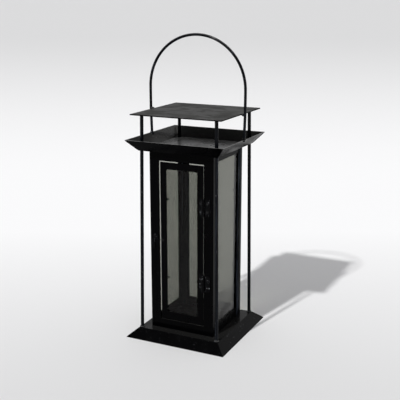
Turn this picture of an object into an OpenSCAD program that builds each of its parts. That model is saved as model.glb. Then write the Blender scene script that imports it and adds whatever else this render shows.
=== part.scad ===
// Candle lantern: a square glazed body on a flared pan, under a flared roof tray and a raised
// flat plate. Four corner rods join pan, tray and plate. A wire handle arches over the plate,
// and the front is a hinged glazed door with a turn latch.
// Millimetres, Z up, origin at the middle of the foot, door side towards -Y.

/* [Body] */
// Outer width and depth of the glazed body
body_w = 100; // [96:1:104]
// Height of the corner posts
body_h = 266.5; // [250:0.5:280]
// Thickness of the sheet steel of posts, rails and door
sheet_t = 1; // [0.8:0.1:1.4]
// Width of the faces of the corner posts at the front and at the sides
post_leg = 15; // [13:0.5:17]
// Width of the rear face of the two rear posts
rear_leg = 13; // [12:0.5:17]
// Height of the four bottom rails, and of the top rail over the door
rail_h = 14; // [10:0.5:18]
// Height of the top rails at the sides and the rear
side_rail_h = 11; // [8:0.5:16]
// Depth of the flange folded inwards along every rail
flange_d = 8; // [5:0.5:12]

/* [Glass] */
// Thickness of the panes
glass_t = 2; // [1.5:0.1:3]
// Clear space between two panes at a corner of the body
pane_corner_gap = 3; // [2.8:0.1:5]
// Clear height between the body's panes and the roof tray
pane_headroom = 4.5; // [3:0.5:8]

/* [Glass clips] */
// Thickness of the clips' strip
clip_t = 0.8; // [0.5:0.1:1]
// Height of a clip where it is fixed
clip_h = 6; // [4:0.5:9]
// Height of a clip at the tip of its tongue
clip_tip_h = 2.5; // [1.5:0.5:4]
// Length of a clip's foot on the frame
clip_foot = 2.2; // [1.4:0.1:2.4]
// Reach of a clip's tongue over the glass
clip_tongue = 8; // [5:0.5:10]
// Clearance between a clip and the edge of its pane
clip_gap = 0.3; // [0.2:0.1:0.5]
// Height of the lower clips above the pan's ledge
clip_low = 80; // [50:1:110]
// Height of the upper clips above the pan's ledge
clip_high = 197; // [150:1:215]

/* [Base pan] */
// Width of the pan at its foot
pan_w = 157; // [150:1:170]
// Width of the flat ledge on top of the pan
ledge_w = 127; // [124:1:136]
// Height of the pan
pan_h = 13; // [9:0.5:20]
// Thickness of the pan's sheet
pan_t = 1; // [0.8:0.1:2]
// Width of the hem that is turned in under the pan to stand on
hem_w = 5; // [4:0.5:12]

/* [Roof tray] */
// Width of the tray's flat floor
tray_floor_w = 122; // [120:1:130]
// Width of the tray across its rim
tray_rim_w = 151; // [145:1:165]
// Height of the tray
tray_h = 16; // [10:0.5:24]
// Thickness of the tray's sheet
tray_t = 1; // [0.8:0.1:1.6]

/* [Top plate] */
// Width of the plate
plate_w = 139; // [134:1:146]
// Thickness of the plate
plate_t = 1.5; // [1:0.1:3]
// Clear height from the tray's underside to the plate
plate_lift = 50.5; // [40:0.5:65]

/* [Corner rods] */
// Diameter of the rods
rod_d = 5; // [4:0.1:5.2]
// Distance of a rod's foot from the edge of the ledge
rod_foot_inset = 2.8; // [2.6:0.1:4]
// Distance of a rod's head from the edge of the plate
rod_head_inset = 12.2; // [11:0.1:14]
// Clearance of a rod in its hole through the tray
rod_fit = 0.1; // [0.05:0.05:0.2]
// Reach of the weld fillets around the ends of the rods
weld_reach = 1.5; // [0.8:0.1:2.2]
// Height of the weld fillets at the ends of the rods
weld_h = 2.2; // [1:0.1:4]

/* [Door] */
// Width of the door's two stiles
door_stile_w = 9.6; // [9:0.2:12]
// Height of the door's top rail
door_top_h = 10; // [7:0.5:14]
// Height of the door's bottom rail
door_bottom_h = 12; // [9:0.5:18]
// Radius of the corners of the door's window
window_round = 2; // [1:0.5:4]
// Gap beside the door at the latch
gap_latch = 1.8; // [1:0.1:2.4]
// Gap beside the door at the hinges
gap_hinge = 0.6; // [0.4:0.1:1]
// Gap above the door
gap_top = 1.6; // [0.8:0.1:3]
// Gap below the door
gap_bottom = 1; // [0.6:0.1:3]
// Overlap of the door's pane behind the stiles and rails
door_rebate = 5; // [3:0.1:5.4]
// Reach of the lip inside the bottom rail that the door's pane stands on
lip_d = 2.6; // [2:0.1:4]

/* [Hinges] */
// Length of a hinge
hinge_len = 25; // [18:1:30]
// Height of the lower hinge's middle above the door's bottom edge
hinge_low = 65; // [40:1:85]
// Distance of the upper hinge's middle below the door's top edge
hinge_high = 59; // [40:1:85]
// Diameter of the hinge barrel
barrel_d = 4; // [3.4:0.1:5]
// Diameter of the hinge pin
pin_d = 2; // [1.4:0.1:2.4]
// Thickness of the hinge leaves
leaf_t = 0.8; // [0.6:0.1:1]
// Width of the leaf on the post
post_leaf_w = 10.5; // [9:0.5:12]
// Width of the leaf on the door
door_leaf_w = 6.5; // [5.5:0.5:8]
// Radius of the outer corners of the leaf on the post
leaf_round = 4.5; // [2:0.5:5]
// Radius of the outer corners of the leaf on the door
door_leaf_round = 1.5; // [0.5:0.5:2.5]
// Running clearance around the hinge barrel, and between its knuckles
knuckle_gap = 0.2; // [0.1:0.05:0.3]
// Radial clearance of the pin in the door's knuckle
pin_fit = 0.05; // [0.02:0.01:0.1]
// Diameter of the rivets' shanks
rivet_d = 2; // [1.2:0.1:2.4]
// Diameter of the rivets' heads
rivet_head_d = 3.4; // [2.6:0.1:4]
// Height of the rivets' heads
rivet_head_h = 1; // [0.6:0.1:1.4]
// Distance of the rivets from the ends of a hinge
rivet_end = 6.5; // [5:0.5:8]
// Clearance of a rivet or a pin that is fixed in its hole
rivet_fit = 0.02; // [0.01:0.01:0.05]

/* [Latch] */
// Distance of the latch's pivot from the post's outer edge
latch_inset = 8.5; // [8:0.5:9]
// Height of the latch's pivot above the pan's ledge
latch_rise = 141; // [120:1:160]
// Diameter of the latch's round hub
hub_d = 8.6; // [7:0.2:10]
// Diameter of the latch's pivot rivet
pivot_d = 3; // [2:0.1:4]
// Diameter of the pivot rivet's head
pivot_head_d = 5.6; // [4.4:0.2:7]
// Height of the pivot rivet's head
pivot_head_h = 1.3; // [0.8:0.1:2]
// Thickness of the latch
latch_t = 1; // [0.8:0.1:1.6]
// Clearance of the latch in front of the post, and under its rivet's head
latch_play = 0.2; // [0.1:0.05:0.4]
// Drop of the tongue's upper edge below the pivot
tongue_drop = 3.8; // [2:0.1:3.9]
// Height of the tongue
tongue_h = 1.8; // [1:0.1:3]
// Clearance between the tongue's tip and the door's edge
tongue_gap = 0.3; // [0.2:0.1:0.6]
// Width of the finger tail
tail_w = 5; // [3:0.5:6]
// Length of the finger tail below the pivot
tail_len = 19.7; // [14:0.1:26]
// Sideways offset of the finger tail from the pivot
tail_shift = 4; // [2.5:0.1:4.5]
// Distance of the catch stud from the door's edge
stud_inset = 3.4; // [3:0.1:5]

/* [Handle] */
// Diameter of the handle's wire
wire_d = 4; // [3:0.1:5]
// Distance of the wire's axis from the plate's edge
handle_stand = 5; // [4.5:0.1:6]
// Height of the arch's centre above the plate
arch_rise = 32; // [15:1:60]
// Inward lean of each leg between the plate and the tray
leg_lean = 1.5; // [1:0.1:3]
// Diameter of the weld beads that hold the wire
bead_d = 5.4; // [5.2:0.1:7]

/* [Hidden] */
$fn = 64;

// Excess that a cutter reaches past the surface it cuts
eps = 0.5;

paint = [0.06, 0.06, 0.065];
glass = [0.62, 0.75, 0.72, 0.4];

// Turns about Z that take the front face to each face of the body
RIGHT = 90;
REAR = 180;
LEFT = 270;

half = body_w / 2;
inner = half - sheet_t;
body_top = pan_h + body_h;
tray_floor_z = body_top + tray_t;
rim_z = body_top + tray_h;
plate_z = body_top + plate_lift;
plate_top = plate_z + plate_t;

// Sideways run per unit of height of the flares, and the width their sheet takes up
pan_run = (pan_w - ledge_w) / 2 / pan_h;
tray_run = (tray_rim_w - tray_floor_w) / 2 / tray_h;
pan_wall = pan_t * sqrt(1 + pow(pan_run, 2));
tray_wall = tray_t * sqrt(1 + pow(tray_run, 2));

// Rods: corner offsets of foot and head, and the lean between them
rod_foot = ledge_w / 2 - rod_foot_inset;
rod_head = plate_w / 2 - rod_head_inset;
rod_rise = plate_z - pan_h;
rod_lean = atan2((rod_foot - rod_head) * sqrt(2), rod_rise);

// Panes of the body
pane_z = pan_h + sheet_t;
pane_half = inner - glass_t - pane_corner_gap;
pane_h = body_top - pane_headroom - pane_z;
clip_heights = [pan_h + clip_low, pan_h + clip_high];

// Door leaf
door_left = -half + post_leg + gap_latch;
door_right = half - post_leg - gap_hinge;
door_low = pan_h + rail_h + gap_bottom;
door_high = body_top - rail_h - gap_top;
window_left = door_left + door_stile_w;
window_right = door_right - door_stile_w;
window_low = door_low + door_bottom_h;
window_high = door_high - door_top_h;
door_mid = (window_left + window_right) / 2;
door_pane_half = (window_right - window_left) / 2 + door_rebate;

// Hinges: axis on the middle of the gap, barrel just clear of the front face
axis_x = half - post_leg - gap_hinge / 2;
axis_y = -half - barrel_d / 2 - knuckle_gap;
hinge_low_z = door_low + hinge_low - hinge_len / 2;
hinge_high_z = door_high - hinge_high - hinge_len / 2;
hinge_bases = [hinge_low_z, hinge_high_z];
knuckle_len = (hinge_len - 2 * knuckle_gap) / 3;
rivet_rows = [rivet_end, hinge_len - rivet_end];
post_rivet_x = half - post_leg + post_leaf_w - leaf_round;
door_rivet_x = door_right - door_leaf_w + rivet_head_d / 2 + door_leaf_round / 2;

// Latch: pivot on the post beside the door
latch_x = -half + latch_inset;
latch_z = pan_h + latch_rise;
tongue_len = door_left - tongue_gap - latch_x;
tongue_mid = tongue_drop + tongue_h / 2;

// Handle: arch in the plane Y = 0
arch_r = plate_w / 2 + handle_stand;
arch_z = plate_top + arch_rise;
weld_z = plate_z + plate_t / 2;
leg_low_z = tray_floor_z;
leg_angle = atan2(leg_lean, weld_z - leg_low_z);
leg_foot_x = arch_r - (weld_z - rim_z) * tan(leg_angle);

// A square block whose width runs from w0 at its bottom to w1 at its top
module wedge(w0, w1, h)
    rotate([90, 0, 0])
        linear_extrude(height = max(w0, w1) + eps, center = true)
            polygon([[-w0 / 2, 0], [w0 / 2, 0], [w1 / 2, h], [-w1 / 2, h]]);

module frustum(w0, w1, h)
    intersection() {
        wedge(w0, w1, h);
        rotate([0, 0, 90]) wedge(w0, w1, h);
    }

module square_block(w, z0, z1)
    translate([-w / 2, -w / 2, z0]) cube([w, w, z1 - z0]);

// Space inside the tray, from its floor to a little above its rim
module tray_space() {
    w0 = tray_floor_w + 2 * (tray_run * tray_t - tray_wall);
    rise = tray_h - tray_t + eps;
    translate([0, 0, tray_floor_z]) frustum(w0, w0 + 2 * tray_run * rise, rise);
}

// A round bar along the axis of the rod at the corner +X +Y, between two heights
module rod_bar(r, z0, z1)
    intersection() {
        translate([rod_foot, rod_foot, pan_h])
            rotate([0, 0, 45])
                rotate([0, -rod_lean, 0])
                    translate([0, 0, -rod_d])
                        cylinder(r = r, h = rod_rise + 2 * rod_d);
        square_block(pan_w, z0, z1);
    }

// Copies of a corner piece at all four corners
module at_corners()
    for (sx = [0, 1], sy = [0, 1])
        mirror([sx, 0, 0]) mirror([0, sy, 0]) children();

module base_pan()
    color(paint)
        difference() {
            frustum(pan_w, ledge_w, pan_h);
            translate([0, 0, pan_t])
                frustum(pan_w - 2 * (pan_run * pan_t + pan_wall),
                        ledge_w + 2 * (pan_run * pan_t - pan_wall), pan_h - 2 * pan_t);
            square_block(pan_w - 2 * hem_w, -eps, pan_t + eps);
        }

module roof_tray()
    color(paint)
        difference() {
            translate([0, 0, body_top]) frustum(tray_floor_w, tray_rim_w, tray_h);
            tray_space();
            at_corners() rod_bar(rod_d / 2 + rod_fit, body_top - eps, rim_z + eps);
        }

module top_plate()
    color(paint) square_block(plate_w, plate_z, plate_top);

// A weld fillet on z = 0: a cone whose side meets the rod's side at the fillet's height
module fillet() {
    r = rod_d / 2 + weld_reach;
    cylinder(r1 = r, r2 = 0, h = weld_h * r / weld_reach);
}

// A rod at the corner +X +Y, with the fillets of the welds at its foot and head
module rod()
    color(paint) {
        rod_bar(rod_d / 2, pan_h, plate_z);
        intersection() {
            translate([rod_foot, rod_foot, pan_h]) fillet();
            square_block(ledge_w, pan_h, plate_z);
        }
        translate([rod_head, rod_head, plate_z]) mirror([0, 0, 1]) fillet();
    }

module rod_front_left() mirror([1, 0, 0]) mirror([0, 1, 0]) rod();
module rod_front_right() mirror([0, 1, 0]) rod();
module rod_rear_left() mirror([1, 0, 0]) rod();
module rod_rear_right() rod();

// One leg of the handle, on the side +X, from the arch down to the tray's flare
module handle_leg() {
    translate([arch_r, 0, weld_z]) cylinder(d = wire_d, h = arch_z - weld_z);
    translate([arch_r, 0, weld_z]) sphere(d = wire_d);
    translate([arch_r, 0, weld_z])
        rotate([0, 180 + leg_angle, 0])
            cylinder(d = wire_d, h = weld_z - leg_low_z);
    translate([plate_w / 2 + handle_stand - wire_d / 2, 0, weld_z]) sphere(d = bead_d);
    translate([leg_foot_x, 0, rim_z]) sphere(d = bead_d);
}

module handle()
    color(paint)
        difference() {
            union() {
                translate([0, 0, arch_z])
                    rotate([90, 0, 0])
                        rotate_extrude(angle = 180) translate([arch_r, 0]) circle(d = wire_d);
                handle_leg();
                mirror([1, 0, 0]) handle_leg();
            }
            square_block(plate_w, plate_z, plate_top);
            difference() {
                square_block(tray_rim_w + 2 * bead_d, body_top - bead_d, rim_z);
                tray_space();
            }
        }

// A corner post: two faces of the given widths that meet at the body's corner +X +Y
module post(face_w, side_w)
    color(paint) {
        translate([half - face_w, inner, pan_h]) cube([face_w, sheet_t, body_h]);
        translate([inner, half - side_w, pan_h]) cube([sheet_t, side_w, body_h]);
    }

module post_bore(x, z, d)
    translate([x, -half - eps, z]) rotate([-90, 0, 0]) cylinder(d = d, h = sheet_t + 2 * eps);

module post_front_left()
    color(paint) difference() {
        mirror([1, 0, 0]) mirror([0, 1, 0]) post(post_leg, post_leg);
        post_bore(latch_x, latch_z, pivot_d + 2 * rivet_fit);
    }

module post_front_right()
    color(paint) difference() {
        mirror([0, 1, 0]) post(post_leg, post_leg);
        for (base = hinge_bases, row = rivet_rows)
            post_bore(post_rivet_x, base + row, rivet_d + 2 * rivet_fit);
    }

module post_rear_left() mirror([1, 0, 0]) post(rear_leg, post_leg);
module post_rear_right() post(rear_leg, post_leg);

// A rail of the front face with a flange folded inwards at its lower or upper edge
module rail(len, h, z, flange_z)
    color(paint) {
        translate([-len / 2, -half, z]) cube([len, sheet_t, h]);
        translate([-len / 2, -half, flange_z]) cube([len, flange_d, sheet_t]);
    }

module bottom_rail(len) rail(len, rail_h, pan_h, pan_h);
module top_rail(len, h) rail(len, h, body_top - h, body_top - sheet_t);

side_rail_len = body_w - 2 * post_leg;
rear_rail_len = body_w - 2 * rear_leg;

module bottom_rail_front() bottom_rail(side_rail_len);
module bottom_rail_right() rotate([0, 0, RIGHT]) bottom_rail(side_rail_len);
module bottom_rail_rear() rotate([0, 0, REAR]) bottom_rail(rear_rail_len);
module bottom_rail_left() rotate([0, 0, LEFT]) bottom_rail(side_rail_len);
module top_rail_front() top_rail(side_rail_len, rail_h);
module top_rail_right() rotate([0, 0, RIGHT]) top_rail(side_rail_len, side_rail_h);
module top_rail_rear() rotate([0, 0, REAR]) top_rail(rear_rail_len, side_rail_h);
module top_rail_left() rotate([0, 0, LEFT]) top_rail(side_rail_len, side_rail_h);

// A pane behind the front face
module pane(half_w, z, h)
    color(glass) translate([-half_w, -inner, z]) cube([2 * half_w, glass_t, h]);

module pane_right() rotate([0, 0, RIGHT]) pane(pane_half, pane_z, pane_h);
module pane_rear() rotate([0, 0, REAR]) pane(pane_half, pane_z, pane_h);
module pane_left() rotate([0, 0, LEFT]) pane(pane_half, pane_z, pane_h);

// A clip at a pane's edge x = 0: foot on the frame, riser past the edge, tongue on the glass
module clip() {
    foot_end = clip_gap + clip_t + clip_foot;
    intersection() {
        translate([0, 0, -clip_h / 2])
            linear_extrude(height = clip_h)
                union() {
                    translate([clip_gap, 0]) square([clip_t, glass_t + clip_t]);
                    translate([clip_gap, 0]) square([clip_t + clip_foot, clip_t]);
                    translate([-clip_tongue, glass_t])
                        square([clip_tongue + clip_gap + clip_t, clip_t]);
                }
        rotate([90, 0, 0])
            linear_extrude(height = 2 * (glass_t + clip_t) + eps, center = true)
                polygon([
                    [-clip_tongue, -clip_tip_h / 2],
                    [0, -clip_h / 2],
                    [foot_end, -clip_h / 2],
                    [foot_end, clip_h / 2],
                    [0, clip_h / 2],
                    [-clip_tongue, clip_tip_h / 2],
                ]);
    }
}

// The four clips of a pane behind the front face
module pane_clips(half_w)
    color(paint)
        for (z = clip_heights, side = [0, 1])
            mirror([side, 0, 0]) translate([half_w, -inner, z]) clip();

module clips_right() rotate([0, 0, RIGHT]) pane_clips(pane_half);
module clips_rear() rotate([0, 0, REAR]) pane_clips(pane_half);
module clips_left() rotate([0, 0, LEFT]) pane_clips(pane_half);

// A plain piece of the door's sheet between two corners
module door_strip(x0, x1, z0, z1)
    translate([x0, -half, z0]) cube([x1 - x0, sheet_t, z1 - z0]);

module door_stile_latch()
    color(paint) difference() {
        door_strip(door_left, window_left, door_low, door_high);
        post_bore(door_left + stud_inset, latch_z - tongue_mid, rivet_d + 2 * rivet_fit);
    }

module door_stile_hinge()
    color(paint) difference() {
        door_strip(window_right, door_right, door_low, door_high);
        for (base = hinge_bases, row = rivet_rows)
            post_bore(door_rivet_x, base + row, rivet_d + 2 * rivet_fit);
    }

// The two rounded corners of the window over z = 0, where a rail meets the stiles
module window_corners()
    for (side = [0, 1])
        translate([door_mid, -half, 0])
            mirror([side, 0, 0])
                difference() {
                    translate([(window_left - window_right) / 2, 0, 0])
                        cube([window_round, sheet_t, window_round]);
                    translate([(window_left - window_right) / 2 + window_round, -eps, window_round])
                        rotate([-90, 0, 0]) cylinder(r = window_round, h = sheet_t + 2 * eps);
                }

module door_rail_top()
    color(paint) {
        door_strip(window_left, window_right, window_high, door_high);
        translate([0, 0, window_high]) mirror([0, 0, 1]) window_corners();
    }

// The bottom rail carries the lip that the pane stands on
module door_rail_bottom()
    color(paint) {
        door_strip(window_left, window_right, door_low, window_low);
        translate([0, 0, window_low]) window_corners();
        translate([window_left, -half, window_low - door_rebate - sheet_t])
            cube([window_right - window_left, sheet_t + lip_d, sheet_t]);
    }

module door_pane()
    translate([door_mid, 0, 0])
        pane(door_pane_half, window_low - door_rebate,
             window_high - window_low + 2 * door_rebate);

module door_clips() translate([door_mid, 0, 0]) pane_clips(door_pane_half);

// A knuckle of the hinge barrel, between two heights above the hinge's base
module knuckle(z0, z1)
    translate([axis_x, axis_y, z0]) cylinder(d = barrel_d, h = z1 - z0);

// Room for the other leaf's knuckle
module knuckle_room(z0, z1)
    translate([axis_x, axis_y, z0]) cylinder(r = barrel_d / 2 + knuckle_gap, h = z1 - z0);

// A leaf of width w on the face, from the gap's edge outwards, with two rounded corners
module leaf_plate(w, r)
    rotate([90, 0, 0])
        linear_extrude(height = leaf_t)
            union() {
                square([w - r, hinge_len]);
                translate([0, r]) square([w, hinge_len - 2 * r]);
                translate([w - r, r]) circle(r = r);
                translate([w - r, hinge_len - r]) circle(r = r);
            }

module leaf_bore(x, row)
    translate([x, -half + eps, row])
        rotate([90, 0, 0])
            cylinder(d = rivet_d + 2 * rivet_fit, h = leaf_t + 2 * eps);

module pin_bore(fit)
    translate([axis_x, axis_y, -eps]) cylinder(r = pin_d / 2 + fit, h = hinge_len + 2 * eps);

first_end = knuckle_len;
middle_start = knuckle_len + knuckle_gap;
middle_end = 2 * knuckle_len + knuckle_gap;
last_start = 2 * (knuckle_len + knuckle_gap);

// The leaf on the post: outer knuckles, cut back around the door's middle knuckle
module post_leaf(base)
    color(paint) translate([0, 0, base]) difference() {
        union() {
            difference() {
                translate([half - post_leg, -half, 0]) leaf_plate(post_leaf_w, leaf_round);
                knuckle_room(first_end, last_start);
            }
            knuckle(0, first_end);
            knuckle(last_start, hinge_len);
        }
        pin_bore(rivet_fit);
        for (row = rivet_rows) leaf_bore(post_rivet_x, row);
    }

// The leaf on the door: middle knuckle, cut back around the post's outer knuckles
module door_leaf(base)
    color(paint) translate([0, 0, base]) difference() {
        union() {
            difference() {
                translate([door_right, -half, 0])
                    mirror([1, 0, 0]) leaf_plate(door_leaf_w, door_leaf_round);
                knuckle_room(-eps, middle_start);
                knuckle_room(middle_end, hinge_len + eps);
            }
            knuckle(middle_start, middle_end);
        }
        pin_bore(pin_fit);
        for (row = rivet_rows) leaf_bore(door_rivet_x, row);
    }

module hinge_post_leaf_lower() post_leaf(hinge_low_z);
module hinge_post_leaf_upper() post_leaf(hinge_high_z);
module hinge_door_leaf_lower() door_leaf(hinge_low_z);
module hinge_door_leaf_upper() door_leaf(hinge_high_z);

module hinge_pins()
    color(paint)
        for (base = hinge_bases)
            translate([axis_x, axis_y, base]) cylinder(d = pin_d, h = hinge_len);

// A dome of base diameter d and height h, standing on z = 0
module dome(d, h) {
    r = (pow(d / 2, 2) + pow(h, 2)) / (2 * h);
    intersection() {
        translate([0, 0, h - r]) sphere(r = r);
        cylinder(d = 2 * d, h = 2 * h);
    }
}

// A rivet in the front face: shank flush with the inside, head out on top of a stack
module rivet(x, z, d, head_d, head_h, stack)
    translate([x, -inner, z])
        rotate([90, 0, 0]) {
            cylinder(d = d, h = sheet_t + stack);
            translate([0, 0, sheet_t + stack]) dome(head_d, head_h);
        }

module post_rivets()
    color(paint)
        for (base = hinge_bases, row = rivet_rows)
            rivet(post_rivet_x, base + row, rivet_d, rivet_head_d, rivet_head_h, leaf_t);

module door_rivets()
    color(paint)
        for (base = hinge_bases, row = rivet_rows)
            rivet(door_rivet_x, base + row, rivet_d, rivet_head_d, rivet_head_h, leaf_t);

module latch_rivet()
    color(paint)
        rivet(latch_x, latch_z, pivot_d, pivot_head_d, pivot_head_h, latch_t + 2 * latch_play);

// The stud on the door in line with the latch's tongue
module latch_stud()
    color(paint)
        rivet(door_left + stud_inset, latch_z - tongue_mid, rivet_d, rivet_head_d,
              rivet_head_h, 0);

// The latch: round hub, tongue across the gap, finger tail below
module latch_outline()
    difference() {
        union() {
            circle(d = hub_d);
            translate([-hub_d / 2, -tongue_drop - tongue_h]) square([hub_d, tongue_drop + tongue_h]);
            translate([0, -tongue_drop - tongue_h]) square([tongue_len - tongue_h / 2, tongue_h]);
            translate([tongue_len - tongue_h / 2, -tongue_mid]) circle(d = tongue_h);
            translate([-tail_shift - tail_w / 2, tail_w / 2 - tail_len])
                square([tail_w, tail_len - tail_w / 2 - tongue_drop]);
            translate([-tail_shift, tail_w / 2 - tail_len]) circle(d = tail_w);
        }
        circle(d = pivot_d + 2 * pin_fit);
    }

module latch_arm()
    color(paint)
        translate([latch_x, -half - latch_play, latch_z])
            rotate([90, 0, 0]) linear_extrude(height = latch_t) latch_outline();

base_pan();
roof_tray();
top_plate();
handle();
rod_front_left();
rod_front_right();
rod_rear_left();
rod_rear_right();
post_front_left();
post_front_right();
post_rear_left();
post_rear_right();
bottom_rail_front();
bottom_rail_right();
bottom_rail_rear();
bottom_rail_left();
top_rail_front();
top_rail_right();
top_rail_rear();
top_rail_left();
pane_right();
pane_rear();
pane_left();
clips_right();
clips_rear();
clips_left();
hinge_post_leaf_lower();
hinge_post_leaf_upper();
hinge_pins();
post_rivets();
latch_rivet();
latch_arm();
door_stile_latch();
door_stile_hinge();
door_rail_top();
door_rail_bottom();
door_pane();
door_clips();
hinge_door_leaf_lower();
hinge_door_leaf_upper();
door_rivets();
latch_stud();
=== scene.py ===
"""Dresses the candle lantern: glossy black paint, clear glass, welds, seams and a pale studio."""

import math

import bmesh
import bpy
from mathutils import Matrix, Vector, noise


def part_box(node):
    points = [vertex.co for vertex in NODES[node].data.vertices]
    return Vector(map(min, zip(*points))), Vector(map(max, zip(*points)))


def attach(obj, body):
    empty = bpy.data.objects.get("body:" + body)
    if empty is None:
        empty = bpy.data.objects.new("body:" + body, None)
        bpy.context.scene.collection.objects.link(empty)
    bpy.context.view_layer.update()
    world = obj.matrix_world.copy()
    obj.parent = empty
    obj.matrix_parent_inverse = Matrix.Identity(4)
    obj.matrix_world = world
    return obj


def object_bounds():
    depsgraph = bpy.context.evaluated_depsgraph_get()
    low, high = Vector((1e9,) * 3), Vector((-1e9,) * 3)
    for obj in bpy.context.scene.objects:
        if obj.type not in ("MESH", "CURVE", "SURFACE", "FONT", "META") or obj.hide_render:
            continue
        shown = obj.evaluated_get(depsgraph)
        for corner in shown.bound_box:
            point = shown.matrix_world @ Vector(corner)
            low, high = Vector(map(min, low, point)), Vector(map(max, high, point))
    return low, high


bl_info = {
    "name": "Candle Lantern",
    "version": (1, 0, 0),
    "blender": (4, 5, 0),
    "location": "View3D > Sidebar > Lantern",
    "description": "Finishes, welds and studio for a black sheet steel candle lantern",
    "category": "Object",
}

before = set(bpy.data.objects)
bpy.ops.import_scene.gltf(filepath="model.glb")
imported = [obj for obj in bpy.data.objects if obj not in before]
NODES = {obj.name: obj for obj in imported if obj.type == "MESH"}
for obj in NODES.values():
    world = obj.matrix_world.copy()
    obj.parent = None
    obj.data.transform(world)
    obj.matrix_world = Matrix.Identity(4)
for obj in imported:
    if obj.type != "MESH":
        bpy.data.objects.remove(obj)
CAD_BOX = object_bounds()

MM = 0.001
UP = Vector((0, 0, 1))

BODY = "lantern_body"

FLAT_SHEET = [
    "post_front_left", "post_front_right",
    "bottom_rail_front", "bottom_rail_right", "bottom_rail_rear", "bottom_rail_left",
    "top_rail_front", "top_rail_right", "top_rail_rear", "top_rail_left",
    "door_stile_latch", "door_stile_hinge", "door_rail_top", "door_rail_bottom",
]
REAR_POSTS = ["post_rear_left", "post_rear_right"]
ROUND_BARS = ["rod_front_left", "rod_front_right", "rod_rear_left", "rod_rear_right", "handle"]
FITTINGS = [
    "hinge_post_leaf_lower", "hinge_post_leaf_upper", "hinge_door_leaf_lower",
    "hinge_door_leaf_upper", "latch_arm", "latch_rivet",
]
HEADS = ["hinge_pins", "post_rivets", "door_rivets", "latch_stud"]
CLIPS = ["clips_right", "clips_rear", "clips_left", "door_clips"]
# Each pane with the direction that its large faces look in
PANES = {
    "pane_right": (1, 0, 0), "pane_left": (1, 0, 0),
    "pane_rear": (0, 1, 0), "door_pane": (0, 1, 0),
}
CORNERS = {
    "front_left": (-1, -1), "front_right": (1, -1),
    "rear_left": (-1, 1), "rear_right": (1, 1),
}
SIDES = {"left": -1, "right": 1}

# First seed of each group of welds, so that no two of them are alike
SEEDS = {"foot": 1, "head": 11, "plate": 21, "tray": 31, "pan_seam": 41, "tray_seam": 51}

# Dust and painted sheen, a lighter grey film on faces that look up: how level a face is where the
# film is full, the noise levels between which patches and grain fade in, and what is left of the
# film where they are thinnest
DUST_SHEEN_LEVEL_FACE = 0.98
DUST_SHEEN_PATCHES = (0.25, 0.75)
DUST_SHEEN_PATCH_THIN = 0.86
DUST_SHEEN_GRAIN = (0.35, 0.70)
DUST_SHEEN_GRAIN_THIN = 0.9
DUST_SHEEN_GRAIN_SCALE = 1100.0  # Specks of about a millimetre
# Smears: the noise levels between which they fade in, how far the noise is twisted, and how many
# times rougher than the clean gloss they are
SMEAR_LEVELS = (0.42, 0.72)
SMEAR_TWIST = 0.6
SMEAR_DULLS = 2.0
# Painted highlight streaks, lighter bluish lines in the colour that stand in for reflections: the
# noise levels between which they fade in, and the stretch that draws them upright
HIGHLIGHT_STREAK_LEVELS = (0.50, 0.66)
HIGHLIGHT_STREAK_STRETCH = (1.0, 1.0, 0.04)
# Rubbed spots: the noise level where they begin on a sound coat, how far a full share lowers it,
# and how wide their edge is
RUB_LEVEL = 0.72
RUB_REACH = -0.35
RUB_EDGE = 0.03
# How squarely a face looks along its pane's direction: the large faces, and the cut edges
GLASS_FACE, GLASS_EDGE = 0.8, 0.3
# Edges sharper than this are softened, and the steps that round sheet and pressed edges
SHARP = math.radians(35)
SHEET_STEPS, PRESS_STEPS = 2, 3
# Shares of a bead's thickness: how far its middle lies outside its rod, and inside the rod's end
BEAD_OUT, BEAD_SUNK = 0.2, 0.3
# Where a ground seam starts and ends on its way along the corner
SEAM_START, SEAM_END = 0.02, 0.96

# Backdrop: cosines of the angle from straight behind between which its top rises, the sines of
# its lowest and highest top, and the share of its height where it fades into the room
BACKDROP_TURN = (-0.2, 0.7)
BACKDROP_TOP = (0.16, 0.80)
BACKDROP_FADE = (0.4, 1.0)
# Floor, coloured as a painted pool of light: metres behind the lantern between which the painted
# shade near the camera turns pale, powers of ten of metres between which it darkens into painted
# shade far away, and the number of its sides
FLOOR_NEAR_SHADE = (-0.22, 0.50)
FLOOR_FAR_SHADE = (0.0, 1.0)
FLOOR_SIDES = 96
# Nearest and farthest that the camera sees, in metres
CAMERA_REACH = (0.01, 1000.0)


def colour_property(name, description, default):
    """A linear colour with three channels."""
    return bpy.props.FloatVectorProperty(
        name=name, description=description, default=default,
        subtype="COLOR", size=3, min=0.0, max=1.0)


def share_property(name, description, default):
    """A value between nothing and all."""
    return bpy.props.FloatProperty(
        name=name, description=description, default=default,
        subtype="FACTOR", min=0.0, max=1.0)


def length_property(name, description, default):
    """A length in metres."""
    return bpy.props.FloatProperty(
        name=name, description=description, default=default,
        subtype="DISTANCE", unit="LENGTH", min=0.0, precision=5)


def lengths_property(name, description, default):
    """Three lengths in metres, along X, Y and Z."""
    return bpy.props.FloatVectorProperty(
        name=name, description=description, default=default,
        subtype="XYZ", unit="LENGTH", size=3, min=0.0, precision=5)


def angle_property(name, description, degrees):
    """An angle, given in degrees and kept in radians."""
    return bpy.props.FloatProperty(
        name=name, description=description, default=math.radians(degrees), subtype="ANGLE")


def direction_property(name, description, default):
    """The way that a lamp shines."""
    return bpy.props.FloatVectorProperty(
        name=name, description=description, default=default, subtype="DIRECTION", size=3)


def strength_property(name, description, default):
    """The strength of a lamp."""
    return bpy.props.FloatProperty(name=name, description=description, default=default, min=0.0)


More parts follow.
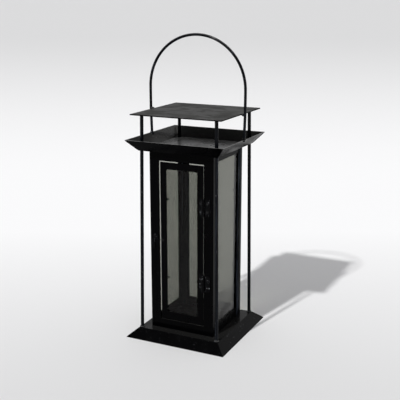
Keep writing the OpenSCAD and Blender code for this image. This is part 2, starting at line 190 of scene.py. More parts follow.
class LanternPaint(bpy.types.PropertyGroup):
    """The black paint and what lies on it."""
    sheet: colour_property(
        "Sheet", "Paint on the pressed and folded sheet", (0.0006, 0.0006, 0.0008))
    bars: colour_property(
        "Bars", "Paint on the round rods and the handle", (0.0020, 0.0025, 0.0038))
    fittings: colour_property(
        "Fittings", "Paint on hinges, latch and clips", (0.0012, 0.0012, 0.0016))
    # Painted highlight: a lighter bluish colour laid in streaks in place of reflections
    highlight_streak: colour_property("Streak", "Lighter streaks in the paint", (0.045, 0.055, 0.075))
    # Colour of a film on faces that look up: dust, made paler to paint the sheen of the plate,
    # the tray's floor and the handle's crown
    dust_and_painted_sheen: colour_property(
        "Dust", "Dust that settles on faces that look up", (0.175, 0.174, 0.167))
    steel: colour_property(
        "Bare steel", "Steel where the paint is rubbed through", (0.36, 0.37, 0.39))

    gloss: share_property("Roughness", "Roughness of the clean paint", 0.16)
    bar_gloss: share_property(
        "Bar roughness", "Roughness of the paint on rods and handle", 0.13)
    plate_gloss: share_property(
        "Plate roughness", "Roughness of the weathered top plate", 0.45)
    dust_dulls: share_property(
        "Dust roughness", "How much a full film of dust adds to the roughness", 0.12)

    sheet_shine: share_property("Sheet shine", "Mirroring of the body's flat sheet", 0.028)
    pan_shine: share_property("Pan shine", "Mirroring of the base pan", 0.065)
    tray_shine: share_property("Tray shine", "Mirroring of the clean roof tray", 0.012)
    tray_sheen: share_property("Tray sheen", "Mirroring that dust adds in the tray", 0.38)
    plate_shine: share_property("Plate shine", "Mirroring of the top plate", 0.03)
    bar_shine: share_property("Bar shine", "Mirroring of rods and handle", 0.09)
    fitting_shine: share_property("Fitting shine", "Mirroring of hinge leaves and latch", 0.05)
    head_shine: share_property("Head shine", "Mirroring of rivet heads and pins", 0.35)
    clip_shine: share_property("Clip shine", "Mirroring of the clips", 0.1)

    # Shares of the film of dust and painted sheen on each part
    sheet_dust_and_painted_sheen: share_property(
        "Dust on sheet", "How much dust lies on the body's flat sheet", 0.08)
    pan_dust_and_painted_sheen: share_property("Dust on pan", "How much dust lies on the base pan", 0.07)
    tray_dust_and_painted_sheen: share_property("Dust in tray", "How much dust lies in the roof tray", 1.0)
    plate_dust_and_painted_sheen: share_property("Dust on plate", "How much dust lies on the top plate", 0.32)
    bar_dust_and_painted_sheen: share_property("Dust on bars", "How much dust lies on the handle's crown", 0.47)
    sheet_steepest: share_property(
        "Steepest on sheet", "How level a face of sheet must be to catch dust", 0.72)
    tray_steepest: share_property(
        "Steepest in tray", "How level a face of the tray must be to catch dust", 0.52)
    bar_steepest: share_property(
        "Steepest on bars", "How level a bar's surface must be to catch dust", 0.25)

    rub: share_property("Rub", "How much paint is rubbed off hinge leaves and latch", 0.15)
    head_rub: share_property(
        "Head rub", "How much paint is rubbed off rivet heads and pins", 0.40)
    pan_rub: share_property("Pan rub", "How much paint is chipped off the base pan", 0.10)
    bar_rub: share_property(
        "Bar rub", "How much paint is rubbed off rods, handle and clips", 0.10)
    # How strong the painted highlight streaks are on the bars and on the rear posts
    bar_highlight_streaks: share_property(
        "Streaks on bars", "How strong the streaks on rods and handle are", 0.18)
    post_highlight_streaks: share_property(
        "Streaks on posts", "How strong the streaks on the rear posts are", 0.75)

    wave_height: length_property("Wave height", "Height of the sheet's slow waves", 0.00022)
    plate_wave_height: length_property(
        "Plate wave height", "Height of the slow waves in the top plate", 0.000055)
    peel_height: length_property(
        "Peel height", "Height of the paint's fine orange peel", 0.000012)


class LanternGlass(bpy.types.PropertyGroup):
    """The four panes."""
    tint: colour_property(
        "Tint", "Colour that a pane gives to what is behind it", (0.365, 0.37, 0.342))
    edge: colour_property("Edge", "Colour of the cut edges", (0.20, 0.75, 0.70))
    ior: bpy.props.FloatProperty(
        name="IOR", description="How strongly a pane bends and mirrors light",
        default=1.2, min=1.0)


class LanternDetail(bpy.types.PropertyGroup):
    """Sizes of the small work on edges, welds and seams."""
    sheet_edge: length_property("Sheet edge", "Rounding of cut sheet edges", 0.00014)
    fitting_edge: length_property(
        "Fitting edge", "Rounding of the edges of hinges, latch and clips", 0.00007)
    press_edge: length_property("Press edge", "Rounding of the pressed edges", 0.00045)
    glass_edge: length_property("Glass edge", "Rounding of the panes' edges", 0.00025)
    rod_radius: length_property("Rod radius", "Half the thickness of a corner rod", 0.0025)
    rod_foot: length_property(
        "Rod foot", "Distance of a rod's foot from the middle, along X and Y", 0.0607)
    rod_head: length_property(
        "Rod head", "Distance of a rod's head from the middle, along X and Y", 0.0573)
    bead: length_property("Weld bead", "Thickness of the weld beads at the rods", 0.0018)
    plate_drop: lengths_property(
        "Plate drop", "Half sizes of the weld drops at the plate", (0.0026, 0.0033, 0.0023))
    plate_drop_out: length_property(
        "Plate drop out", "Distance of those drops outside the plate's edge", 0.0020)
    tray_drop: lengths_property(
        "Tray drop", "Half sizes of the weld drops in the tray", (0.0022, 0.0032, 0.0019))
    tray_drop_in: length_property(
        "Tray drop in", "Distance of those drops inside the tray's rim", 0.0026)
    tray_drop_down: length_property(
        "Tray drop down", "Distance of those drops under the tray's rim", 0.0018)
    seam: length_property("Seam", "Thickness of the welded corner seams", 0.0007)
    ledge_half: length_property("Ledge half", "Half the width of the pan's ledge", 0.0635)
    floor_half: length_property("Floor half", "Half the width of the tray's floor", 0.0610)


class LanternStudio(bpy.types.PropertyGroup):
    """Floor, light and camera."""
    # The floor's colours paint a pool of light: palest behind the lantern, with painted shade
    # near the camera and far away
    floor: colour_property(
        "Floor", "Colour of the floor behind the lantern", (0.90, 0.90, 0.90))
    floor_near_painted_shade: colour_property(
        "Floor near", "Colour of the floor at the camera", (0.70, 0.70, 0.70))
    floor_far_painted_shade: colour_property(
        "Floor far", "Colour of the floor at the horizon", (0.67, 0.67, 0.67))
    floor_radius: length_property("Floor radius", "How far the floor reaches", 400.0)
    floor_rough: share_property("Floor roughness", "Roughness of the floor", 0.9)
    floor_shine: share_property("Floor shine", "Mirroring of the floor", 0.1)
    sky_low: colour_property("Backdrop", "Colour of the backdrop", (0.78, 0.78, 0.79))
    sky_high: colour_property("Room", "Colour of the room over it", (0.12, 0.12, 0.13))
    key: strength_property("Key", "Strength of the key light", 2.65)
    key_direction: direction_property(
        "Key direction", "The way that the key light shines", (0.2, 1.0, -1.0))
    key_angle: angle_property("Key angle", "How wide the key light is", 2.2)
    fill: strength_property("Fill", "Strength of the overhead fill", 0.9)
    fill_direction: direction_property(
        "Fill direction", "The way that the fill shines", (-0.15, 0.1, -1.0))
    fill_angle: angle_property("Fill angle", "How wide the fill is", 120.0)
    azimuth: angle_property(
        "Azimuth", "Camera's angle round the lantern from its front", 26.013)
    elevation: angle_property("Elevation", "Camera's angle above the aim point", 16.4825)
    distance: length_property("Distance", "Camera's distance from the aim point", 1.15056)
    aim_height: length_property("Aim height", "Height of the aim point", 0.160)
    pan: angle_property("Pan", "Turn of the camera to the right of the aim point", 0.2328)
    tilt: angle_property("Tilt", "Turn of the camera above the aim point", 1.9468)
    sensor: bpy.props.FloatProperty(
        name="Sensor", description="Width of the camera's sensor in mm", default=36.0)
    lens: bpy.props.FloatProperty(
        name="Lens", description="Focal length", default=69.98, unit="CAMERA")


# Materials ------------------------------------------------------------------------------

def fresh_group(name, inputs, outputs):
    """A shader node group with named sockets, and its input and output nodes."""
    group = bpy.data.node_groups.new(name, "ShaderNodeTree")
    for socket, value in inputs:
        made = group.interface.new_socket(
            socket, in_out="INPUT", socket_type="NodeSocketFloat")
        made.default_value = value
    for socket in outputs:
        group.interface.new_socket(socket, in_out="OUTPUT", socket_type="NodeSocketFloat")
    start = group.nodes.new("NodeGroupInput")
    end = group.nodes.new("NodeGroupOutput")
    return group, start, end


def math_node(nodes, operation, *values):
    """A Math node with the given constant inputs; None leaves an input to be linked."""
    node = nodes.new("ShaderNodeMath")
    node.operation = operation
    for i, value in enumerate(values):
        if value is not None:
            node.inputs[i].default_value = value
    return node


def product(nodes, links, first, second):
    """Two values multiplied."""
    node = math_node(nodes, "MULTIPLY")
    links.new(first, node.inputs[0])
    links.new(second, node.inputs[1])
    return node.outputs[0]


def noise_node(nodes, links, place, scale, detail, roughness=0.5):
    """Noise over a place, with a scale that is a number or the group input that gives it."""
    node = nodes.new("ShaderNodeTexNoise")
    node.inputs["Detail"].default_value = detail
    node.inputs["Roughness"].default_value = roughness
    links.new(place, node.inputs["Vector"])
    if isinstance(scale, float):
        node.inputs["Scale"].default_value = scale
    else:
        links.new(scale, node.inputs["Scale"])
    return node


def ramp_node(nodes, low, high):
    """A Map Range node that runs smoothly from 0 at low to 1 at high."""
    node = nodes.new("ShaderNodeMapRange")
    node.interpolation_type = "SMOOTHSTEP"
    node.inputs["From Min"].default_value = low
    node.inputs["From Max"].default_value = high
    return node


def opaque(colour):
    """A colour with full alpha."""
    return (*colour, 1.0)


def mix_colour(nodes, links, share, first, second):
    """Two colours mixed by a share; each is a plain colour or another node's output."""
    node = nodes.new("ShaderNodeMix")
    node.data_type = "RGBA"
    links.new(share, node.inputs["Factor"])
    for socket, colour in ((node.inputs[6], first), (node.inputs[7], second)):
        if isinstance(colour, bpy.types.NodeSocket):
            links.new(colour, socket)
        else:
            socket.default_value = opaque(colour)
    return node.outputs[2]


def dust_and_painted_sheen_group():
    """Dust and painted sheen on faces that look up: a mask with patches and specks."""
    group, start, end = fresh_group(
        "Dust and painted sheen", [("Share", 0.5), ("Steepest", 0.72), ("Patch Scale", 22.0)], ["Mask"])
    nodes, links = group.nodes, group.links
    place = nodes.new("ShaderNodeTexCoord").outputs["Object"]
    facing = nodes.new("ShaderNodeNewGeometry")
    split = nodes.new("ShaderNodeSeparateXYZ")
    links.new(facing.outputs["Normal"], split.inputs[0])
    upward = ramp_node(nodes, 0.0, DUST_SHEEN_LEVEL_FACE)
    links.new(start.outputs["Steepest"], upward.inputs["From Min"])
    links.new(split.outputs["Z"], upward.inputs["Value"])
    patches = noise_node(nodes, links, place, start.outputs["Patch Scale"],
                         detail=4.0, roughness=0.6)
    spread = ramp_node(nodes, *DUST_SHEEN_PATCHES)
    spread.inputs["To Min"].default_value = DUST_SHEEN_PATCH_THIN
    links.new(patches.outputs["Fac"], spread.inputs["Value"])
    specks = noise_node(nodes, links, place, DUST_SHEEN_GRAIN_SCALE, detail=2.0)
    grain = ramp_node(nodes, *DUST_SHEEN_GRAIN)
    grain.inputs["To Min"].default_value = DUST_SHEEN_GRAIN_THIN
    links.new(specks.outputs["Fac"], grain.inputs["Value"])
    film = product(nodes, links, upward.outputs[0], spread.outputs[0])
    film = product(nodes, links, film, grain.outputs[0])
    film = product(nodes, links, film, start.outputs["Share"])
    links.new(film, end.inputs["Mask"])
    return group


def sheet_surface_group():
    """Height of thin sheet under paint: slow waves of the sheet and fine orange peel."""
    group, start, end = fresh_group(
        "Sheet surface",
        [("Wave Height", 0.0002), ("Wave Scale", 17.0),
         ("Peel Height", 0.00001), ("Peel Scale", 700.0)],
        ["Height"])
    nodes, links = group.nodes, group.links
    place = nodes.new("ShaderNodeTexCoord").outputs["Object"]
    total = math_node(nodes, "ADD")
    for i, (layer, detail) in enumerate((("Wave", 1.0), ("Peel", 2.0))):
        waves = noise_node(nodes, links, place, start.outputs[layer + " Scale"], detail)
        height = product(nodes, links, waves.outputs["Fac"], start.outputs[layer + " Height"])
        links.new(height, total.inputs[i])
    links.new(total.outputs[0], end.inputs["Height"])
    return group


def handled_gloss_group():
    """Roughness of handled gloss paint: clean gloss with duller smears and wiped streaks."""
    group, start, end = fresh_group(
        "Handled gloss", [("Clean", 0.16), ("Smeared", 0.32), ("Smear Scale", 30.0)],
        ["Roughness"])
    nodes, links = group.nodes, group.links
    place = nodes.new("ShaderNodeTexCoord").outputs["Object"]
    smears = noise_node(nodes, links, place, start.outputs["Smear Scale"],
                        detail=5.0, roughness=0.65)
    smears.inputs["Distortion"].default_value = SMEAR_TWIST
    spread = ramp_node(nodes, *SMEAR_LEVELS)
    links.new(smears.outputs["Fac"], spread.inputs["Value"])
    links.new(start.outputs["Clean"], spread.inputs["To Min"])
    links.new(start.outputs["Smeared"], spread.inputs["To Max"])
    links.new(spread.outputs[0], end.inputs["Roughness"])
    return group


def rubbed_paint_group():
    """A mask of small spots where the paint is rubbed through to the steel."""
    group, start, end = fresh_group(
        "Rubbed paint", [("Share", 0.2), ("Spot Scale", 420.0)], ["Mask"])
    nodes, links = group.nodes, group.links
    place = nodes.new("ShaderNodeTexCoord").outputs["Object"]
    spots = noise_node(nodes, links, place, start.outputs["Spot Scale"],
                       detail=4.0, roughness=0.6)
    level = math_node(nodes, "MULTIPLY_ADD", None, RUB_REACH, RUB_LEVEL)
    links.new(start.outputs["Share"], level.inputs[0])
    edge = math_node(nodes, "ADD", None, RUB_EDGE)
    links.new(level.outputs[0], edge.inputs[0])
    mask = ramp_node(nodes, 0.0, 1.0)
    links.new(spots.outputs["Fac"], mask.inputs["Value"])
    links.new(level.outputs[0], mask.inputs["From Min"])
    links.new(edge.outputs[0], mask.inputs["From Max"])
    links.new(mask.outputs[0], end.inputs["Mask"])
    return group


def painted_highlight_streaks_group():
    """A mask of thin upright streaks of painted highlight: lighter lines that stand in for
    reflections.
    """
    group, start, end = fresh_group(
        "Painted highlight streaks", [("Share", 0.5), ("Streak Scale", 260.0)], ["Mask"])
    nodes, links = group.nodes, group.links
    place = nodes.new("ShaderNodeTexCoord").outputs["Object"]
    stretched = nodes.new("ShaderNodeVectorMath")
    stretched.operation = "MULTIPLY"
    stretched.inputs[1].default_value = HIGHLIGHT_STREAK_STRETCH
    links.new(place, stretched.inputs[0])
    streaks = noise_node(nodes, links, stretched.outputs["Vector"],
                         start.outputs["Streak Scale"], detail=3.0, roughness=0.6)
    cut = ramp_node(nodes, *HIGHLIGHT_STREAK_LEVELS)
    links.new(streaks.outputs["Fac"], cut.inputs["Value"])
    mask = product(nodes, links, cut.outputs[0], start.outputs["Share"])
    links.new(mask, end.inputs["Mask"])
    return group


def place_effect(material, name, build, **values):
    """One use of a shared effect in a material, with its own values."""
    node = material.node_tree.nodes.new("ShaderNodeGroup")
    node.node_tree = bpy.data.node_groups.get(name) or build()
    for socket, value in values.items():
        node.inputs[socket.replace("_", " ").title()].default_value = value
    return node


def fresh_material(name):
    """A material with its Principled BSDF."""
    material = bpy.data.materials.new(name)
    material.use_nodes = True
    return material, material.node_tree.nodes["Principled BSDF"]


def painted_metal(name, paint, colour, shine, gloss, wave=0.0, dust_and_painted_sheen=0.0, steepest=0.0,
                  sheen=0.0, rubbed=0.0, highlight_streaked=0.0):
    """Black paint with smears, and with waves, painted highlight streaks, rubbed spots, and a
    dusty film with painted sheen where asked.
    """
    material, skin = fresh_material(name)
    nodes, links = material.node_tree.nodes, material.node_tree.links
    shown = colour
    smears = place_effect(material, "Handled gloss", handled_gloss_group,
                          clean=gloss, smeared=gloss * SMEAR_DULLS)
    rough = smears.outputs["Roughness"]
    # Painted highlight: lighter bluish streaks mixed into the base colour
    if highlight_streaked > 0.0:
        highlight_lines = place_effect(material, "Painted highlight streaks", painted_highlight_streaks_group, share=highlight_streaked)
        shown = mix_colour(nodes, links, highlight_lines.outputs["Mask"], shown, paint.highlight_streak)
    if rubbed > 0.0:
        spots = place_effect(material, "Rubbed paint", rubbed_paint_group, share=rubbed)
        shown = mix_colour(nodes, links, spots.outputs["Mask"], shown, paint.steel)
        links.new(spots.outputs["Mask"], skin.inputs["Metallic"])
    skin.inputs["Specular IOR Level"].default_value = shine
    # Dust and painted sheen: faces that look up turn lighter grey
    if dust_and_painted_sheen > 0.0:
        film = place_effect(material, "Dust and painted sheen", dust_and_painted_sheen_group,
                            share=dust_and_painted_sheen, steepest=steepest)
        mask = film.outputs["Mask"]
        shown = mix_colour(nodes, links, mask, shown, paint.dust_and_painted_sheen)
        dull = math_node(nodes, "MULTIPLY_ADD", None, paint.dust_dulls)
        links.new(mask, dull.inputs[0])
        links.new(rough, dull.inputs[2])
        rough = dull.outputs[0]
        if sheen > 0.0:
            mirror = math_node(nodes, "MULTIPLY_ADD", None, sheen, shine)
            links.new(mask, mirror.inputs[0])
            links.new(mirror.outputs[0], skin.inputs["Specular IOR Level"])
    links.new(shown, skin.inputs["Base Color"])
    links.new(rough, skin.inputs["Roughness"])
    surface = place_effect(material, "Sheet surface", sheet_surface_group,
                           wave_height=wave, peel_height=paint.peel_height)
    bump = nodes.new("ShaderNodeBump")
    bump.inputs["Strength"].default_value = 1.0
    bump.inputs["Distance"].default_value = 1.0
    links.new(surface.outputs["Height"], bump.inputs["Height"])
    links.new(bump.outputs["Normal"], skin.inputs["Normal"])
    return material


def pane_glass(name, glass, facing):
    """Clear glass with cut edges of another colour. Lamps shine through it."""
    material, skin = fresh_material(name)
    nodes, links = material.node_tree.nodes, material.node_tree.links
    normal = nodes.new("ShaderNodeNewGeometry")
    across = nodes.new("ShaderNodeVectorMath")
    across.operation = "DOT_PRODUCT"
    across.inputs[1].default_value = facing
    links.new(normal.outputs["True Normal"], across.inputs[0])
    size = math_node(nodes, "ABSOLUTE")
    links.new(across.outputs["Value"], size.inputs[0])
    edge = ramp_node(nodes, GLASS_FACE, GLASS_EDGE)
    links.new(size.outputs[0], edge.inputs["Value"])
    shown = mix_colour(nodes, links, edge.outputs[0], glass.tint, glass.edge)
    links.new(shown, skin.inputs["Base Color"])
    skin.inputs["Roughness"].default_value = 0.0
    skin.inputs["Transmission Weight"].default_value = 1.0
    skin.inputs["IOR"].default_value = glass.ior
    passed = nodes.new("ShaderNodeBsdfTransparent")
    passed.inputs["Color"].default_value = opaque(glass.tint)
    path = nodes.new("ShaderNodeLightPath")
    mixed = nodes.new("ShaderNodeMixShader")
    links.new(path.outputs["Is Shadow Ray"], mixed.inputs[0])
    links.new(skin.outputs[0], mixed.inputs[1])
    links.new(passed.outputs[0], mixed.inputs[2])
    links.new(mixed.outputs[0], nodes["Material Output"].inputs["Surface"])
    return material


def dress(nodes, material, edge=0.0, steps=SHEET_STEPS):
    """Gives nodes of the frame their material and softens their sharp edges."""
    for node in nodes:
        piece = NODES[node]
        piece.data.materials.clear()
        piece.data.materials.append(material)
        if edge > 0.0:
            softened = piece.modifiers.new("Softened edges", "BEVEL")
            softened.width = edge
            softened.segments = steps
            softened.limit_method = "ANGLE"
            softened.angle_limit = SHARP


# Meshes ---------------------------------------------------------------------------------

def link_object(name, data):
    """A new object in the scene."""
    made = bpy.data.objects.new(name, data)
    bpy.context.scene.collection.objects.link(made)
    return made


def body_piece(name, mesh_maker, material):
    """A new piece of black metal on the body, whose mesh the maker fills."""
    work = bmesh.new()
    mesh_maker(work)
    bmesh.ops.recalc_face_normals(work, faces=work.faces)
    data = bpy.data.meshes.new(name)
    work.to_mesh(data)
    work.free()
    data.polygons.foreach_set("use_smooth", [True] * len(data.polygons))
    data.materials.append(material)
    piece = link_object(name, data)
    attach(piece, BODY)


def sweep(work, points, radii, sides, closed):
    """A tube through points, with its own radius at each, capped unless it is closed."""
    rings = []
    count = len(points)
    for i, (point, radius) in enumerate(zip(points, radii)):
        ahead = points[(i + 1) % count] if closed or i < count - 1 else point
        behind = points[i - 1] if closed or i > 0 else point
        along = (ahead - behind).normalized()
        side = along.cross(UP).normalized()
        up = side.cross(along)
        ring = []
        for k in range(sides):
            turn = 2 * math.pi * k / sides
            spoke = math.cos(turn) * side + math.sin(turn) * up
            ring.append(work.verts.new(point + radius * spoke))
        rings.append(ring)
    for i in range(count if closed else count - 1):
        here, there = rings[i], rings[(i + 1) % count]
        for k in range(sides):
            after = (k + 1) % sides
            work.faces.new((here[k], here[after], there[after], there[k]))
    if not closed:
        work.faces.new(rings[0])
        work.faces.new(rings[-1])


def lump(point, size, seed):
    """A steady uneven value between about -1 and 1."""
    return noise.noise(Vector(point) / size + Vector((seed, 2.0 * seed, 3.0 * seed)))


def weld_ring(centre, radius, thickness, seed):
    """A mesh maker for an uneven weld bead laid round a bar."""
    steps, sides, ripples = 36, 10, 9
    reach = 3.0  # The ring's radius in the noise that makes it uneven
    out, lift, path_grain = 0.10, 0.2 * MM, 1.1
    rippled, swollen, bead_grain = 0.12, 0.25, 0.7

    def maker(work):
        points, radii = [], []
        for i in range(steps):
            turn = 2 * math.pi * i / steps
            spot = Vector((math.cos(turn), math.sin(turn), 0.0))
            uneven = lump(spot * reach, path_grain, seed)
            points.append(
                centre + spot * radius * (1 + out * uneven) + Vector((0, 0, lift * uneven)))
            ripple = 1 + rippled * math.sin(ripples * turn + seed)
            swell = 1 + swollen * lump(spot * reach, bead_grain, seed + 5)
            radii.append(thickness / 2 * ripple * swell)
        sweep(work, points, radii, sides, True)
    return maker


def weld_drop(centre, size, seed):
    """A mesh maker for a single uneven drop of weld."""
    coarse, coarse_grain = 0.10, 0.7
    fine, fine_grain = 0.05, 0.3

    def maker(work):
        made = bmesh.ops.create_icosphere(work, subdivisions=4, radius=1.0)
        for vert in made["verts"]:
            out = vert.co.normalized()
            swell = (1 + coarse * lump(out, coarse_grain, seed)
                     + fine * lump(out, fine_grain, seed + 3))
            vert.co = centre + Vector(out[k] * size[k] * swell for k in range(3))
    return maker


def corner_seam(top, foot, thickness, seed):
    """A mesh maker for a ground-down weld seam along a corner of pressed sheet."""
    start, end = top.lerp(foot, SEAM_START), top.lerp(foot, SEAM_END)
    steps, sides = 60, 8
    blunt, quick = 0.3, 6  # Share of the thickness at an end, and how fast it grows from there
    uneven, grain = 0.35, 2.0 * MM

    def maker(work):
        points, radii = [], []
        for i in range(steps + 1):
            t = i / steps
            point = start.lerp(end, t)
            points.append(point)
            taper = min(1.0, quick * t + blunt, quick * (1 - t) + blunt)
            radii.append(thickness / 2 * taper * (1 + uneven * lump(point, grain, seed)))
        sweep(work, points, radii, sides, False)
    return maker


# Operators ------------------------------------------------------------------------------

class LANTERN_OT_paint_sheet(bpy.types.Operator):
    """Paint the folded and pressed sheet"""
    bl_idname = "lantern.paint_sheet"
    bl_label = "Paint Sheet"

    def execute(self, context):
        paint, detail = context.scene.lantern_paint, context.scene.lantern_detail
        sheet = painted_metal(
            "Black gloss on sheet", paint, paint.sheet, paint.sheet_shine, paint.gloss,
            wave=paint.wave_height, dust_and_painted_sheen=paint.sheet_dust_and_painted_sheen, steepest=paint.sheet_steepest)
        dress(FLAT_SHEET, sheet, detail.sheet_edge)
        # The rear posts carry painted highlight streaks, lighter lines in place of reflections
        highlight_streaked_posts = painted_metal(
            "Black on rear posts with painted highlight streaks", paint, paint.sheet, paint.sheet_shine, paint.gloss,
            wave=paint.wave_height, dust_and_painted_sheen=paint.sheet_dust_and_painted_sheen, steepest=paint.sheet_steepest,
            highlight_streaked=paint.post_highlight_streaks)
        dress(REAR_POSTS, highlight_streaked_posts, detail.sheet_edge)
        pan = painted_metal(
            "Black gloss on pan", paint, paint.sheet, paint.pan_shine, paint.gloss,
            wave=paint.wave_height, dust_and_painted_sheen=paint.pan_dust_and_painted_sheen, steepest=paint.sheet_steepest,
            rubbed=paint.pan_rub)
        dress(["base_pan"], pan, detail.press_edge, PRESS_STEPS)
        # The tray's floor is fully filmed, which paints light onto the floor in the plate's shade
        tray = painted_metal(
            "Black on tray with dust and painted sheen", paint, paint.sheet, paint.tray_shine, paint.gloss,
            wave=paint.wave_height, dust_and_painted_sheen=paint.tray_dust_and_painted_sheen, steepest=paint.tray_steepest,
            sheen=paint.tray_sheen)
        dress(["roof_tray"], tray, detail.press_edge, PRESS_STEPS)
        # The plate's lighter grey film is dust and painted sheen
        plate = painted_metal(
            "Weathered black on plate", paint, paint.sheet, paint.plate_shine,
            paint.plate_gloss, wave=paint.plate_wave_height, dust_and_painted_sheen=paint.plate_dust_and_painted_sheen,
            steepest=paint.sheet_steepest)
        dress(["top_plate"], plate, detail.press_edge, PRESS_STEPS)
        return {"FINISHED"}


class LANTERN_OT_paint_bars(bpy.types.Operator):
    """Paint the corner rods and the handle"""
    bl_idname = "lantern.paint_bars"
    bl_label = "Paint Rods and Handle"

    def execute(self, context):
        paint = context.scene.lantern_paint
        # The rods and handle carry painted highlight streaks in their colour
        bars = painted_metal(
            "Black gloss on bars", paint, paint.bars, paint.bar_shine, paint.bar_gloss,
            dust_and_painted_sheen=paint.bar_dust_and_painted_sheen, steepest=paint.bar_steepest, rubbed=paint.bar_rub,
            highlight_streaked=paint.bar_highlight_streaks)
        dress(ROUND_BARS, bars)
        return {"FINISHED"}


class LANTERN_OT_paint_fittings(bpy.types.Operator):
    """Paint hinges, latch, rivets and clips"""
    bl_idname = "lantern.paint_fittings"
    bl_label = "Paint Fittings"

    def execute(self, context):
        paint, detail = context.scene.lantern_paint, context.scene.lantern_detail
        for name, nodes, shine, rub in (
                ("Rubbed black on fittings", FITTINGS, paint.fitting_shine, paint.rub),
                ("Rubbed black on heads", HEADS, paint.head_shine, paint.head_rub),
                ("Black on clips", CLIPS, paint.clip_shine, paint.bar_rub)):
            black = painted_metal(name, paint, paint.fittings, shine, paint.gloss, rubbed=rub)
            dress(nodes, black, detail.fitting_edge)
        return {"FINISHED"}


class LANTERN_OT_glaze(bpy.types.Operator):
    """Give the panes clear glass with coloured cut edges"""
    bl_idname = "lantern.glaze"
    bl_label = "Glaze"

    def execute(self, context):
        scene = context.scene
        for node, facing in PANES.items():
            clear = pane_glass("Glass of " + node, scene.lantern_glass, facing)
            dress([node], clear, scene.lantern_detail.glass_edge)
        return {"FINISHED"}


class LANTERN_OT_weld(bpy.types.Operator):
    """Lay the weld beads at the rods and the handle"""
    bl_idname = "lantern.weld"
    bl_label = "Weld Beads"

    def execute(self, context):
        detail = context.scene.lantern_detail
        material = bpy.data.materials["Black gloss on bars"]
        radius = detail.rod_radius + BEAD_OUT * detail.bead
        sunk = BEAD_SUNK * detail.bead
        for i, (corner, (sx, sy)) in enumerate(CORNERS.items()):
            low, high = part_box("rod_" + corner)
            foot = Vector((sx * detail.rod_foot, sy * detail.rod_foot, low.z + sunk))
            head = Vector((sx * detail.rod_head, sy * detail.rod_head, high.z - sunk))
            for end, centre in (("foot", foot), ("head", head)):
                body_piece("weld_%s_%s" % (end, corner),
                           weld_ring(centre, radius, detail.bead, i + SEEDS[end]), material)
        plate_low, plate_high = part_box("top_plate")
        tray_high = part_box("roof_tray")[1]
        for i, (side, sx) in enumerate(SIDES.items()):
            edge = Vector((sx * (plate_high.x + detail.plate_drop_out), 0.0,
                           (plate_low.z + plate_high.z) / 2))
            body_piece("weld_plate_" + side,
                       weld_drop(edge, detail.plate_drop, i + SEEDS["plate"]), material)
            foot = Vector((sx * (tray_high.x - detail.tray_drop_in), 0.0,
                           tray_high.z - detail.tray_drop_down))
            body_piece("weld_tray_" + side,
                       weld_drop(foot, detail.tray_drop, i + SEEDS["tray"]), material)
        return {"FINISHED"}


class LANTERN_OT_seam(bpy.types.Operator):
    """Lay the welded seams along the corners of pan and tray"""
    bl_idname = "lantern.seam"
    bl_label = "Corner Seams"

    def execute(self, context):
        detail = context.scene.lantern_detail
        material = bpy.data.materials["Black gloss on pan"]
        pan_low, pan_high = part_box("base_pan")
        tray_low, tray_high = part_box("roof_tray")
        for i, (corner, (sx, sy)) in enumerate(CORNERS.items()):
            top = Vector((sx * detail.ledge_half, sy * detail.ledge_half, pan_high.z))
            foot = Vector((sx * pan_high.x, sy * pan_high.y, pan_low.z))
            body_piece("pan_seam_" + corner,
                       corner_seam(top, foot, detail.seam, i + SEEDS["pan_seam"]), material)
            low = Vector((sx * detail.floor_half, sy * detail.floor_half, tray_low.z))
            rim = Vector((sx * tray_high.x, sy * tray_high.y, tray_high.z))
            body_piece("tray_seam_" + corner,
                       corner_seam(low, rim, detail.seam, i + SEEDS["tray_seam"]), material)
        return {"FINISHED"}


def straight_behind(studio):
    """The level direction from the camera to the lantern and on."""
    return Vector((-math.sin(studio.azimuth), math.cos(studio.azimuth), 0.0))


def along_view(nodes, links, place, studio):
    """How far a place lies behind the lantern, seen from the camera."""
    node = nodes.new("ShaderNodeVectorMath")
    node.operation = "DOT_PRODUCT"
    node.inputs[1].default_value = straight_behind(studio)
    links.new(place, node.inputs[0])
    return node.outputs["Value"]


def studio_world(studio):
    """A pale backdrop, high behind the lantern and low in front of it, under a darker room."""
    world = bpy.data.worlds.new("Studio")
    bpy.context.scene.world = world
    world.use_nodes = True
    nodes, links = world.node_tree.nodes, world.node_tree.links
    place = nodes.new("ShaderNodeTexCoord").outputs["Generated"]
    split = nodes.new("ShaderNodeSeparateXYZ")
    links.new(place, split.inputs[0])
    top = ramp_node(nodes, *BACKDROP_TURN)
    top.inputs["To Min"].default_value, top.inputs["To Max"].default_value = BACKDROP_TOP
    links.new(along_view(nodes, links, place, studio), top.inputs["Value"])
    height = math_node(nodes, "DIVIDE")
    links.new(split.outputs["Z"], height.inputs[0])
    links.new(top.outputs[0], height.inputs[1])
    rise = ramp_node(nodes, *BACKDROP_FADE)
    links.new(height.outputs[0], rise.inputs["Value"])
    shown = mix_colour(nodes, links, rise.outputs[0], studio.sky_low, studio.sky_high)
    links.new(shown, nodes["Background"].inputs["Color"])


def aim_sun(name, strength, direction, angle):
    """A soft far lamp that shines along a direction."""
    data = bpy.data.lights.new(name, "SUN")
    data.energy = strength
    data.angle = angle
    lamp = link_object(name, data)
    lamp.rotation_euler = Vector(direction).to_track_quat("-Z", "Y").to_euler()
    return lamp


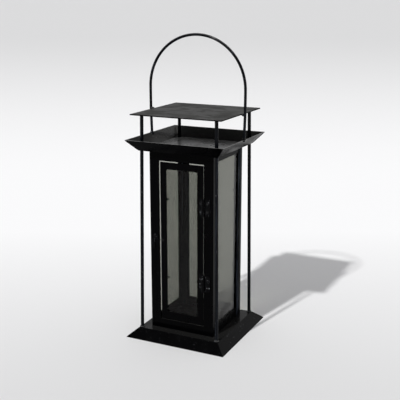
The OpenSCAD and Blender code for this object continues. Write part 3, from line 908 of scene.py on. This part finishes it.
def set_camera(studio):
    """The main view: on a sphere round the aim point, then panned and tilted."""
    aim = Vector((0, 0, studio.aim_height))
    back = UP * math.sin(studio.elevation) - straight_behind(studio) * math.cos(studio.elevation)
    look = -back
    right = look.cross(UP).normalized()
    up = right.cross(look)
    look = look * math.cos(studio.pan) + right * math.sin(studio.pan)
    look = look * math.cos(studio.tilt) + up * math.sin(studio.tilt)
    data = bpy.data.cameras.new("Camera")
    data.sensor_width = studio.sensor
    data.lens = studio.lens
    data.clip_start, data.clip_end = CAMERA_REACH
    camera = link_object("Camera", data)
    camera.location = aim + back * studio.distance
    camera.rotation_mode = "QUATERNION"
    camera.rotation_quaternion = look.to_track_quat("-Z", "Y")
    bpy.context.scene.camera = camera


def floor_with_painted_light(studio):
    """A large round floor with a painted pool of light: palest a little behind the lantern, with
    painted shade near and far.
    """
    material, skin = fresh_material("Floor with painted light pool")
    nodes, links = material.node_tree.nodes, material.node_tree.links
    place = nodes.new("ShaderNodeTexCoord").outputs["Object"]
    along = along_view(nodes, links, place, studio)
    near = ramp_node(nodes, *FLOOR_NEAR_SHADE)
    near.interpolation_type = "LINEAR"
    links.new(along, near.inputs["Value"])
    reach = math_node(nodes, "MAXIMUM", None, 1.0)
    links.new(along, reach.inputs[0])
    decade = math_node(nodes, "LOGARITHM", None, 10.0)
    links.new(reach.outputs[0], decade.inputs[0])
    far = ramp_node(nodes, *FLOOR_FAR_SHADE)
    links.new(decade.outputs[0], far.inputs["Value"])
    # Painted light pool: painted shade near the camera turns pale behind the lantern, then
    # painted shade far away
    front = mix_colour(nodes, links, near.outputs[0], studio.floor_near_painted_shade, studio.floor)
    shown = mix_colour(nodes, links, far.outputs[0], front, studio.floor_far_painted_shade)
    links.new(shown, skin.inputs["Base Color"])
    skin.inputs["Roughness"].default_value = studio.floor_rough
    skin.inputs["Specular IOR Level"].default_value = studio.floor_shine
    work = bmesh.new()
    bmesh.ops.create_circle(work, cap_ends=True, segments=FLOOR_SIDES,
                             radius=studio.floor_radius)
    data = bpy.data.meshes.new("Floor")
    work.to_mesh(data)
    work.free()
    data.materials.append(material)
    floor = link_object("Floor", data)
    floor.location.z = CAD_BOX[0].z


class LANTERN_OT_stage(bpy.types.Operator):
    """Set the floor, the lamps, the backdrop and the camera"""
    bl_idname = "lantern.stage"
    bl_label = "Stage"

    def execute(self, context):
        studio = context.scene.lantern_studio
        context.scene.view_settings.view_transform = "Standard"
        studio_world(studio)
        floor_with_painted_light(studio)
        aim_sun("Key", studio.key, studio.key_direction, studio.key_angle)
        fill = aim_sun("Fill", studio.fill, studio.fill_direction, studio.fill_angle)
        fill.visible_glossy = False
        set_camera(studio)
        return {"FINISHED"}


class VIEW3D_PT_lantern(bpy.types.Panel):
    """Buttons and sizes for the lantern"""
    bl_idname = "VIEW3D_PT_lantern"
    bl_label = "Candle Lantern"
    bl_space_type = "VIEW_3D"
    bl_region_type = "UI"
    bl_category = "Lantern"

    def draw(self, context):
        for operator in OPERATORS:
            self.layout.operator(operator.bl_idname)
        for name, group in SETTINGS.items():
            box = self.layout.box()
            box.label(text=group.__name__)
            for field in group.__annotations__:
                box.prop(getattr(context.scene, name), field)


OPERATORS = [
    LANTERN_OT_paint_sheet, LANTERN_OT_paint_bars, LANTERN_OT_paint_fittings,
    LANTERN_OT_glaze, LANTERN_OT_weld, LANTERN_OT_seam, LANTERN_OT_stage,
]
SETTINGS = {
    "lantern_paint": LanternPaint,
    "lantern_glass": LanternGlass,
    "lantern_detail": LanternDetail,
    "lantern_studio": LanternStudio,
}


def register():
    """Makes the settings, the operators and the panel known to Blender."""
    for name, group in SETTINGS.items():
        bpy.utils.register_class(group)
        setattr(bpy.types.Scene, name, bpy.props.PointerProperty(type=group))
    for operator in OPERATORS:
        bpy.utils.register_class(operator)
    bpy.utils.register_class(VIEW3D_PT_lantern)


def unregister():
    """Takes them away again."""
    bpy.utils.unregister_class(VIEW3D_PT_lantern)
    for operator in reversed(OPERATORS):
        bpy.utils.unregister_class(operator)
    for name, group in reversed(SETTINGS.items()):
        delattr(bpy.types.Scene, name)
        bpy.utils.unregister_class(group)


def main():
    """Dresses the lantern piece by piece."""
    register()
    bpy.ops.lantern.paint_sheet()
    bpy.ops.lantern.paint_bars()
    bpy.ops.lantern.paint_fittings()
    bpy.ops.lantern.glaze()
    bpy.ops.lantern.weld()
    bpy.ops.lantern.seam()
    bpy.ops.lantern.stage()


if __name__ == "__main__":
    main()
